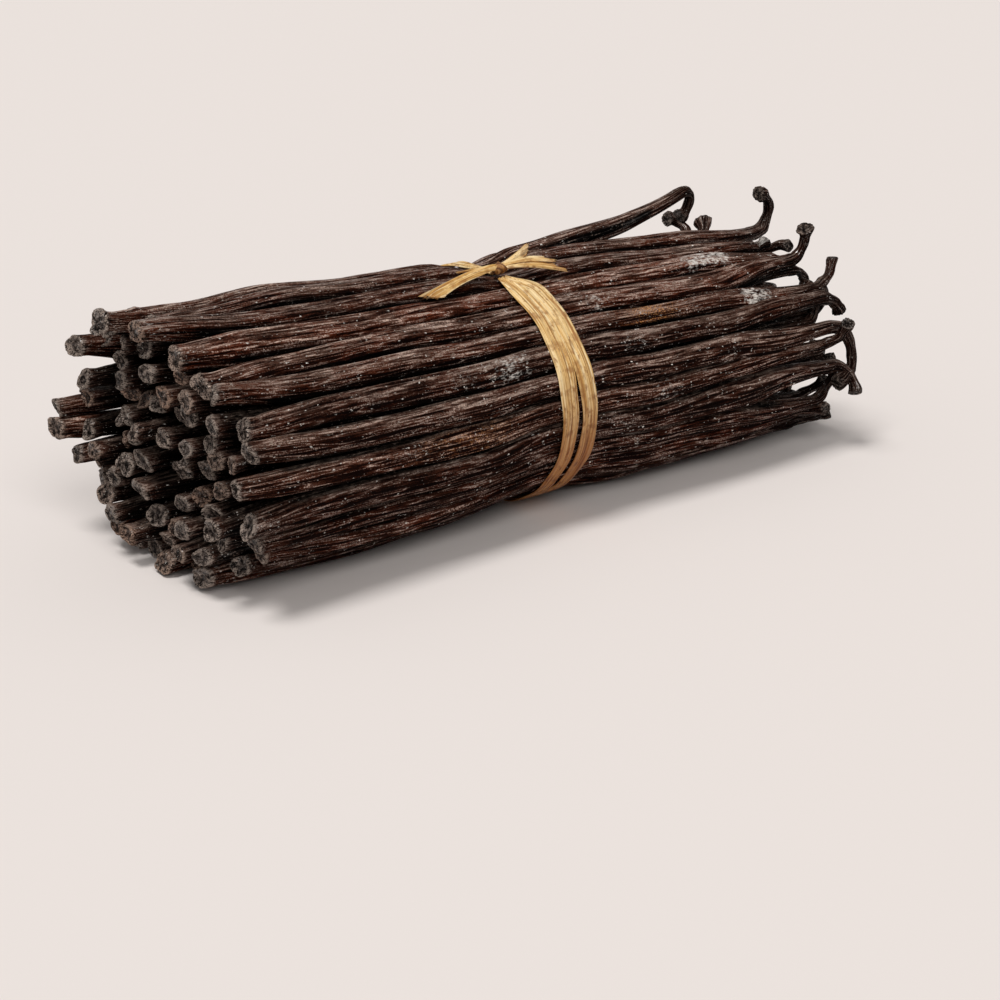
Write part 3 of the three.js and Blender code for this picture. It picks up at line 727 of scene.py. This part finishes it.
def podTube(pod, start=None, stop=None, sides=podMesh["innerSides"], step=podMesh["innerStep"], tipEnd=True,
            stemEnd=True):
    rng = np.random.default_rng(900 + pod["number"])
    n = pod["number"]
    x0 = pod["tip"] if start is None else start
    x1 = pod["neck"] if stop is None else stop
    near = np.array(podMesh["tipRows"] if tipEnd else (0.0,))
    rest = np.linspace(near[-1], x1 - x0, max(int((x1 - x0 - near[-1]) / step), 2) + 1)[1:]
    rows = bodyRows(pod, x0 + np.concatenate([near, rest]), rng)
    if stemEnd:
        stem = stemRows(pod, {key: value[-1] for key, value in rows.items()}, step, rng)
        rows = {key: np.concatenate([value, stem[key]]) for key, value in rows.items()}
    lengths = np.linalg.norm(np.diff(rows["point"], axis=0), axis=1)
    along = np.concatenate([[0], np.cumsum(lengths)]) + (x0 - pod["tip"])
    phi = np.arange(sides) / sides * 2 * math.pi
    height = creases(pod, along, phi, sides)
    if tipEnd:  # the skin puckers towards the blunt end
        pinch = sum(size * (2 * np.abs(np.sin(waves / 2 * phi + 6.3 * chance(n, 40 + waves))) - 1.2)
                    for waves, size in wrinkles["pinches"])
        height = height * (1 + 0.6 * np.exp(-along / 5)[:, None]) + np.exp(-(along / 2.8) ** 2)[:, None] * pinch
    rim = np.exp(-(along / 0.7) ** 2) if tipEnd else np.zeros(len(along))
    rows.update(side=np.cross(rows["heading"], rows["up"]), radial=np.ones(len(along)), rim=rim, height=height,
                along=along)
    if tipEnd:
        rows = closeTip(pod, rows)
    if stemEnd:
        rows = closeStem(rows)
    # round the middle line runs a section a little squarer than an ellipse, and the folds stand off it
    power = podMesh["squareness"]
    plump = (np.abs(np.cos(phi)) ** power + np.abs(np.sin(phi)) ** power) ** (-1 / power)
    radial = rows["radial"]
    wide = (plump * np.cos(phi))[None, :, None] * (rows["halfWidth"] * radial)[:, None, None]
    thick = (plump * np.sin(phi))[None, :, None] * (rows["halfThickness"] * radial)[:, None, None]
    across = rows["side"][:, None] * wide + rows["up"][:, None] * thick
    slack = 1 + np.minimum(rows["height"] - 0.06, 0.06)
    points = rows["point"][:, None] + across * slack[..., None]
    if tipEnd:
        points += rows["heading"][:, None] * cutAslant(pod, rows, phi)
    points[..., 2] = np.maximum(points[..., 2], 0.0)
    ends = np.stack([points[0].mean(0), points[-1].mean(0)])
    return dict(points=points, ends=ends, fields=podFields(pod, rows, phi, across, tipEnd))


def makePods(name, chosen, **more):
    makePiece(name, [podTube(p, **more) for p in chosen], vanillaSkin, "vanilla_pods")


vanillaSkin = makeSkin()
vanillaShade = makeShade()
raffiaStraw = makeStraw()
pods = layOutPods()
outer = [p for p in pods if p["ring"] == 0]
closeRanks(outer)
for name, first, last in (("outerPodsTop", 0, 9), ("outerPodsNear", 9, 18), ("outerPodsFar", 18, 27)):
    makePods(name, outer[first:last], sides=podMesh["outerSides"], step=podMesh["outerStep"])
makePods("secondLayerPods", [p for p in pods if p["ring"] == 1])
inner = [p for p in pods if p["ring"] > 1]
tubes = [podTube(p, stop=p["tip"] + podMesh["tipPart"], stemEnd=False) for p in inner]
makePiece("innerPodTips", tubes, vanillaSkin, "vanilla_pods")
makePods("innerPodStems", inner, start=podMesh["stemPart"], sides=podMesh["stemSides"], tipEnd=False)


heart = dict(rows=(-62.0, -61, -50, -35, -15, 0, 15, 35, 50, 61, 62), sides=60, depth=8.0, clearance=2.2)


def makeHeart():  # the core the pods lie on: ellipses round the bundle, well inside it
    sides = heart["sides"]
    angle = np.arange(sides) / sides * 2 * math.pi
    points = np.stack([ringPoint(np.full(sides, x), -angle, heart["depth"])[0] for x in heart["rows"]])
    points[..., 2] = np.maximum(points[..., 2], liftAt(points[..., 0]) + heart["clearance"])
    tube = dict(points=points, ends=np.stack([points[0].mean(0), points[-1].mean(0)]), fields={})
    makePiece("podHeart", [tube], vanillaShade, "vanilla_pods")


makeHeart()

# The raffia

tie = dict(
    strandWidth=4.7, strandThickness=0.34, knotWidth=1.6, thickness=0.7, gapBelow=0.85, lies=0.9,
    knotAngle=math.radians(101), knotRise=1.5, knotShift=-2.5, knotRadius=1.7, kinkEvery=(0.3, 0.6),
    straightness=0.6, leafThickness=0.3, leafPleat=0.35, pleats=((1.5, 1.0), (3.2, 0.8), (6.5, 0.5)),
    shadedBetween=(12, 40), strandRows=260,
)


def bandLine(angle):  # where the raffia lies: an ellipse just outside the pods, kept off the table
    point, out = ringPoint(0 * angle, angle, -tie["lies"])
    point[..., 2] = np.maximum(point[..., 2], bundle["tieLift"] - tie["gapBelow"] - tie["thickness"] / 2)
    return point, out


def ribbon(path, face, width, seed, thickness=tie["leafThickness"], pleat=tie["leafPleat"], across=26,
           twist=(0.0, 0.0), cut=0.0):
    # a leaf strip: across it runs a pleated height; over and under face make one closed loop of points
    rng = np.random.default_rng(seed)
    rows = len(path)
    heading = unit(np.gradient(path, axis=0))
    face = square(face, heading)
    turn = np.linspace(*twist, rows)[:, None]
    side = np.cross(heading, face)
    face, side = face * np.cos(turn) + side * np.sin(turn), side * np.cos(turn) - face * np.sin(turn)
    s = np.concatenate([[0], np.cumsum(np.linalg.norm(np.diff(path, axis=0), axis=1))])
    v = np.linspace(-0.5, 0.5, across)
    height = np.zeros((rows, across))
    for waves, gain in tie["pleats"]:
        phase = rng.uniform(0, 6.28) + 1.6 * driftNoise(rng, s, 16)
        height += gain * (2 * np.abs(np.sin(math.pi * waves * v[None, :] + phase[:, None])) - 1)
    height *= pleat * 0.5 * (0.6 + 0.4 * driftNoise(rng, s, 11))[:, None]
    edge = np.sqrt(np.maximum(1 - (2 * np.abs(v)) ** 6, 0.02))
    loopV = np.concatenate([v, v[::-1]])
    loopH = np.concatenate([height + edge * thickness / 2, (height - edge * thickness / 2)[:, ::-1]], 1)
    wide = width * (1 + 0.05 * driftNoise(rng, s, 7))
    points = (path[:, None] + side[:, None] * (loopV[None, :, None] * wide[:, None, None])
              + face[:, None] * loopH[..., None])
    # the free end is cut aslant and a little ragged
    ragged = cut * loopV + 0.35 * np.sign(abs(cut)) * np.interp(loopV, v, rng.uniform(-1, 1, across))
    points += heading[:, None] * (ragged[None, :] * wide[:, None] * ease(s, s[-1] - 4, s[-1])[:, None])[..., None]
    crease = np.clip(-height / (pleat * 0.5 + 1e-6) * 0.5 - 0.15, 0, 0.6)
    coord = np.stack([s[:, None] + 0 * loopV, loopV[None, :] * wide[:, None], 0 * loopH + seed * 13.7], -1)
    points = points[:, ::-1]
    coord = coord[:, ::-1]
    crease = np.concatenate([crease, crease[:, ::-1]], 1)[:, ::-1]
    closing = np.stack([points[0].mean(0), points[-1].mean(0)])
    # painted shade: darker towards the bottom of the tie
    shadeAndStain = 1 - ease(points[..., 2:], *tie["shadedBetween"])
    # the cut ends of the tails are stained darker through the same field
    if cut:
        shadeAndStain = np.maximum(shadeAndStain, 0.5 * ease(s, s[-1] - 3, s[-1])[:, None, None])
    return dict(points=points, ends=closing, fields=dict(
        fibreCoord=coord, fibreCrease=crease[..., None], fibreShadeAndStain=shadeAndStain))


def makeStrand(sideways, seed):  # once round the bundle, gathered at the knot, both strands parted low down
    fromKnot = np.linspace(0.02, 2 * math.pi - 0.02, tie["strandRows"])
    path, out = bandLine(tie["knotAngle"] + fromKnot)
    # the strip runs straight from one pod that stands out to the next
    least, most = tie["kinkEvery"]
    kinks = np.concatenate([[0.02], np.cumsum(least + (most - least) * np.random.default_rng(77).random(20))])
    kinks = np.append(kinks[kinks < 6.1], 2 * math.pi - 0.02)
    at = np.interp(kinks, fromKnot, np.arange(len(fromKnot))).astype(int)
    straight = np.stack([np.interp(fromKnot, fromKnot[at], path[at, k]) for k in range(3)], -1)
    bent = mix(path, straight, tie["straightness"])
    path = np.stack([np.convolve(np.pad(bent[:, k], 4, "edge"), np.ones(9) / 9, "valid") for k in range(3)], -1)
    away = np.minimum(fromKnot, 2 * math.pi - fromKnot)
    gathered = np.minimum(ease(away, 0, 0.26), ease(2 * math.pi - fromKnot, 0.2, 1.0))
    parted = ease(away, 0.75, 1.3) * (1 - ease(away, 2.1, 2.8))
    path[:, 0] = mix(tie["knotShift"], 0, gathered) + sideways * (
        mix(0.5, tie["strandWidth"] / 2 - 0.2, gathered) + 0.5 * parted)
    width = mix(tie["knotWidth"], tie["strandWidth"], gathered) - 0.4 * parted
    return ribbon(path, out, width, seed, thickness=tie["strandThickness"])


def knotSeat():  # the knot's middle, and the way out of the bundle there
    seat, out = bandLine(np.array([tie["knotAngle"]]))
    return seat[0] + out[0] * tie["knotRise"] + np.array([tie["knotShift"], 0, 0]), out[0]


def tail(points, widths, seed, steps=50, **more):
    # a smooth curve from the knot through points given along the pods, towards the near side, and up
    points = np.array(points, float)
    centre, out = knotSeat()
    nearer = np.cross([1, 0, 0], out)
    t = np.linspace(0, 1, steps)
    place = np.linspace(0, 1, len(points))
    smooth = np.stack([np.polyval(np.polyfit(place, points[:, k], min(3, len(points) - 1)), t)
                       for k in range(3)], -1)
    path = centre + smooth[:, :1] * np.array([1, 0, 0]) + smooth[:, 1:2] * nearer + smooth[:, 2:] * out
    width = np.interp(t, (0, 0.35, 1), widths)
    return ribbon(path, np.repeat(out[None], steps, 0), width, seed, across=14, **more)


def makeKnot():  # a lump wound over twice: an ellipsoid with a groove spiralling round it
    centre, _ = knotSeat()
    polar = np.linspace(0.08, math.pi - 0.08, 40)
    turn = np.arange(48) / 48 * 2 * math.pi
    groove = 0.12 * np.abs(np.sin(1.5 * turn[None, :] + 2.2 * np.cos(polar)[:, None] * 2))
    r = tie["knotRadius"] * (0.86 + groove)
    x = np.cos(polar)[:, None] * r * 1.1
    y = np.sin(polar)[:, None] * np.cos(turn) * r
    z = np.sin(polar)[:, None] * np.sin(turn) * r * 0.78
    points = centre + np.stack([-x, y, z], -1)
    points += 0.25 * np.sin(points[..., [1, 2, 0]] * 2.3 + 1.0)
    coord = np.stack([turn[None, :] * 2 + 0 * x, 4 * polar[:, None] + 0 * y, 0 * z + 3], -1)
    ends = np.stack([points[0].mean(0), points[-1].mean(0)])
    # painted shade in the groove of the knot; the whole knot is also made darker through the straw's painted-shade
    # field
    return dict(points=points, ends=ends, fields=dict(
        fibreCoord=coord, fibreCrease=np.clip(0.75 - groove / 0.12, 0, 0.75)[..., None],
        fibreShadeAndStain=np.full((40, 48, 1), 0.85)))


raffia = [
    makeStrand(-1, 3), makeStrand(1, 4), makeKnot(),
    tail([(0, 0, 0), (-7, 1.0, 0.6), (-14, 2.4, 0), (-21.5, 4.2, -1.2)], (1.2, 2.6, 3.6), 5, pleat=1.0, cut=0.5),
    tail([(0, 0, 0.1), (-5, -0.5, 0.5), (-10.5, -1.2, 0.4)], (0.7, 0.8, 0.4), 6, cut=0.8),
    tail([(0, 0, 0.2), (4, -0.5, 1.2), (8, -0.6, 3.2)], (1.1, 1.8, 2.2), 7, pleat=0.9, twist=(0, 0.8), cut=-0.6),
    tail([(0, 0, 0.2), (5, 0.2, 1.4), (11.2, 1.6, 1.2)], (0.8, 1.3, 1.2), 8, pleat=0.6, cut=0.7),
    tail([(0, 0, 0.1), (6, 1.1, 1.2), (12.8, 3.2, 0.6)], (0.8, 1.5, 1.7), 9, pleat=0.7, cut=-0.5),
    tail([(0, 0, 0), (6, 1.8, 0.8), (12.2, 4.6, 0.2)], (0.8, 1.3, 1.5), 10, pleat=0.6, cut=0.4),
    tail([(0, 0, 0), (6, 2.4, 0.6), (13.9, 6.0, -0.4)], (0.8, 1.0, 0.8), 11, twist=(0, 0.5), cut=0.9),
]
makePiece("raffiaTie", raffia, raffiaStraw, "raffia_tie")

# Floor, light and camera

studio = dict(
    floor=(0.80, 0.746, 0.72), world=(1.0, 0.98, 0.97), worldStrength=0.27, lamp=(1, 0.985, 0.965),
    # the way each light comes from, its strength and its width in degrees
    lamps={"topLight": ((-0.35, 0.0, 1.0), 1.85, 20), "frontFill": ((-0.3, -0.85, 0.85), 1.0, 30)},
)
# the camera, in degrees and in units of the bundle's half height
view = dict(elevation=21.0, heading=52.1, distance=20.23, slide=-0.08, rise=1.04, focal=2.4, aimHeight=26.2,
            sensor=36)


def makeFloor():
    mesh = bpy.data.meshes.new("floor")
    mesh.from_pydata([(-4, -4, 0), (4, -4, 0), (4, 4, 0), (-4, 4, 0)], [], [(0, 1, 2, 3)])
    floor = bpy.data.objects.new("floor", mesh)
    scene.collection.objects.link(floor)
    material, _, shader = newMaterial("floorPaper")
    shader.inputs["Base Color"].default_value = (*studio["floor"], 1)
    shader.inputs["Roughness"].default_value = 0.9
    shader.inputs["Specular IOR Level"].default_value = 0.1
    mesh.materials.append(material)


def turnTo(item, right, up, back, place):  # its own X, Y and Z along the three ways given
    rows = np.column_stack([right, up, back, place])
    item.matrix_world = Matrix([*rows.tolist(), [0, 0, 0, 1]])


def makeCamera():
    elevation, heading = math.radians(view["elevation"]), math.radians(view["heading"])
    ct, st = math.cos(elevation), math.sin(elevation)
    cp, sp = math.cos(heading), math.sin(heading)
    forward = np.array([cp * ct, sp * ct, -st])
    right = np.array([sp, -cp, 0])
    up = np.cross(right, forward)
    aim = np.array(bundle["tieAt"]) + [0, 0, view["aimHeight"]]
    back = -view["distance"] * forward - view["slide"] * right - view["rise"] * up
    data = bpy.data.cameras.new("camera")
    data.lens = view["focal"] * view["sensor"]
    data.sensor_width = view["sensor"]
    data.clip_start = 0.01
    camera = bpy.data.objects.new("camera", data)
    scene.collection.objects.link(camera)
    turnTo(camera, right, up, -forward, (aim + bundle["tieHalfHeight"] * back) * mm)
    scene.camera = camera


def makeSun(name, way, strength, angle):  # a broad even light that comes from the way given
    data = bpy.data.lights.new(name, "SUN")
    data.energy = strength
    data.angle = math.radians(angle)
    data.color = studio["lamp"]
    lamp = bpy.data.objects.new(name, data)
    scene.collection.objects.link(lamp)
    back = unit(np.array(way))
    right = unit(np.cross([0, 1.0, 0], back))
    turnTo(lamp, right, np.cross(back, right), back, (0, 0, 1))


makeFloor()
for name, values in studio["lamps"].items():
    makeSun(name, *values)
makeCamera()
print("floor, lights and camera ready")
world = bpy.data.worlds.new("studioAir")
world.use_nodes = True
world.node_tree.nodes["Background"].inputs[0].default_value = (*studio["world"], 1)
world.node_tree.nodes["Background"].inputs[1].default_value = studio["worldStrength"]
scene.world = world
scene.view_settings.view_transform = "Standard"
print("scene ready")
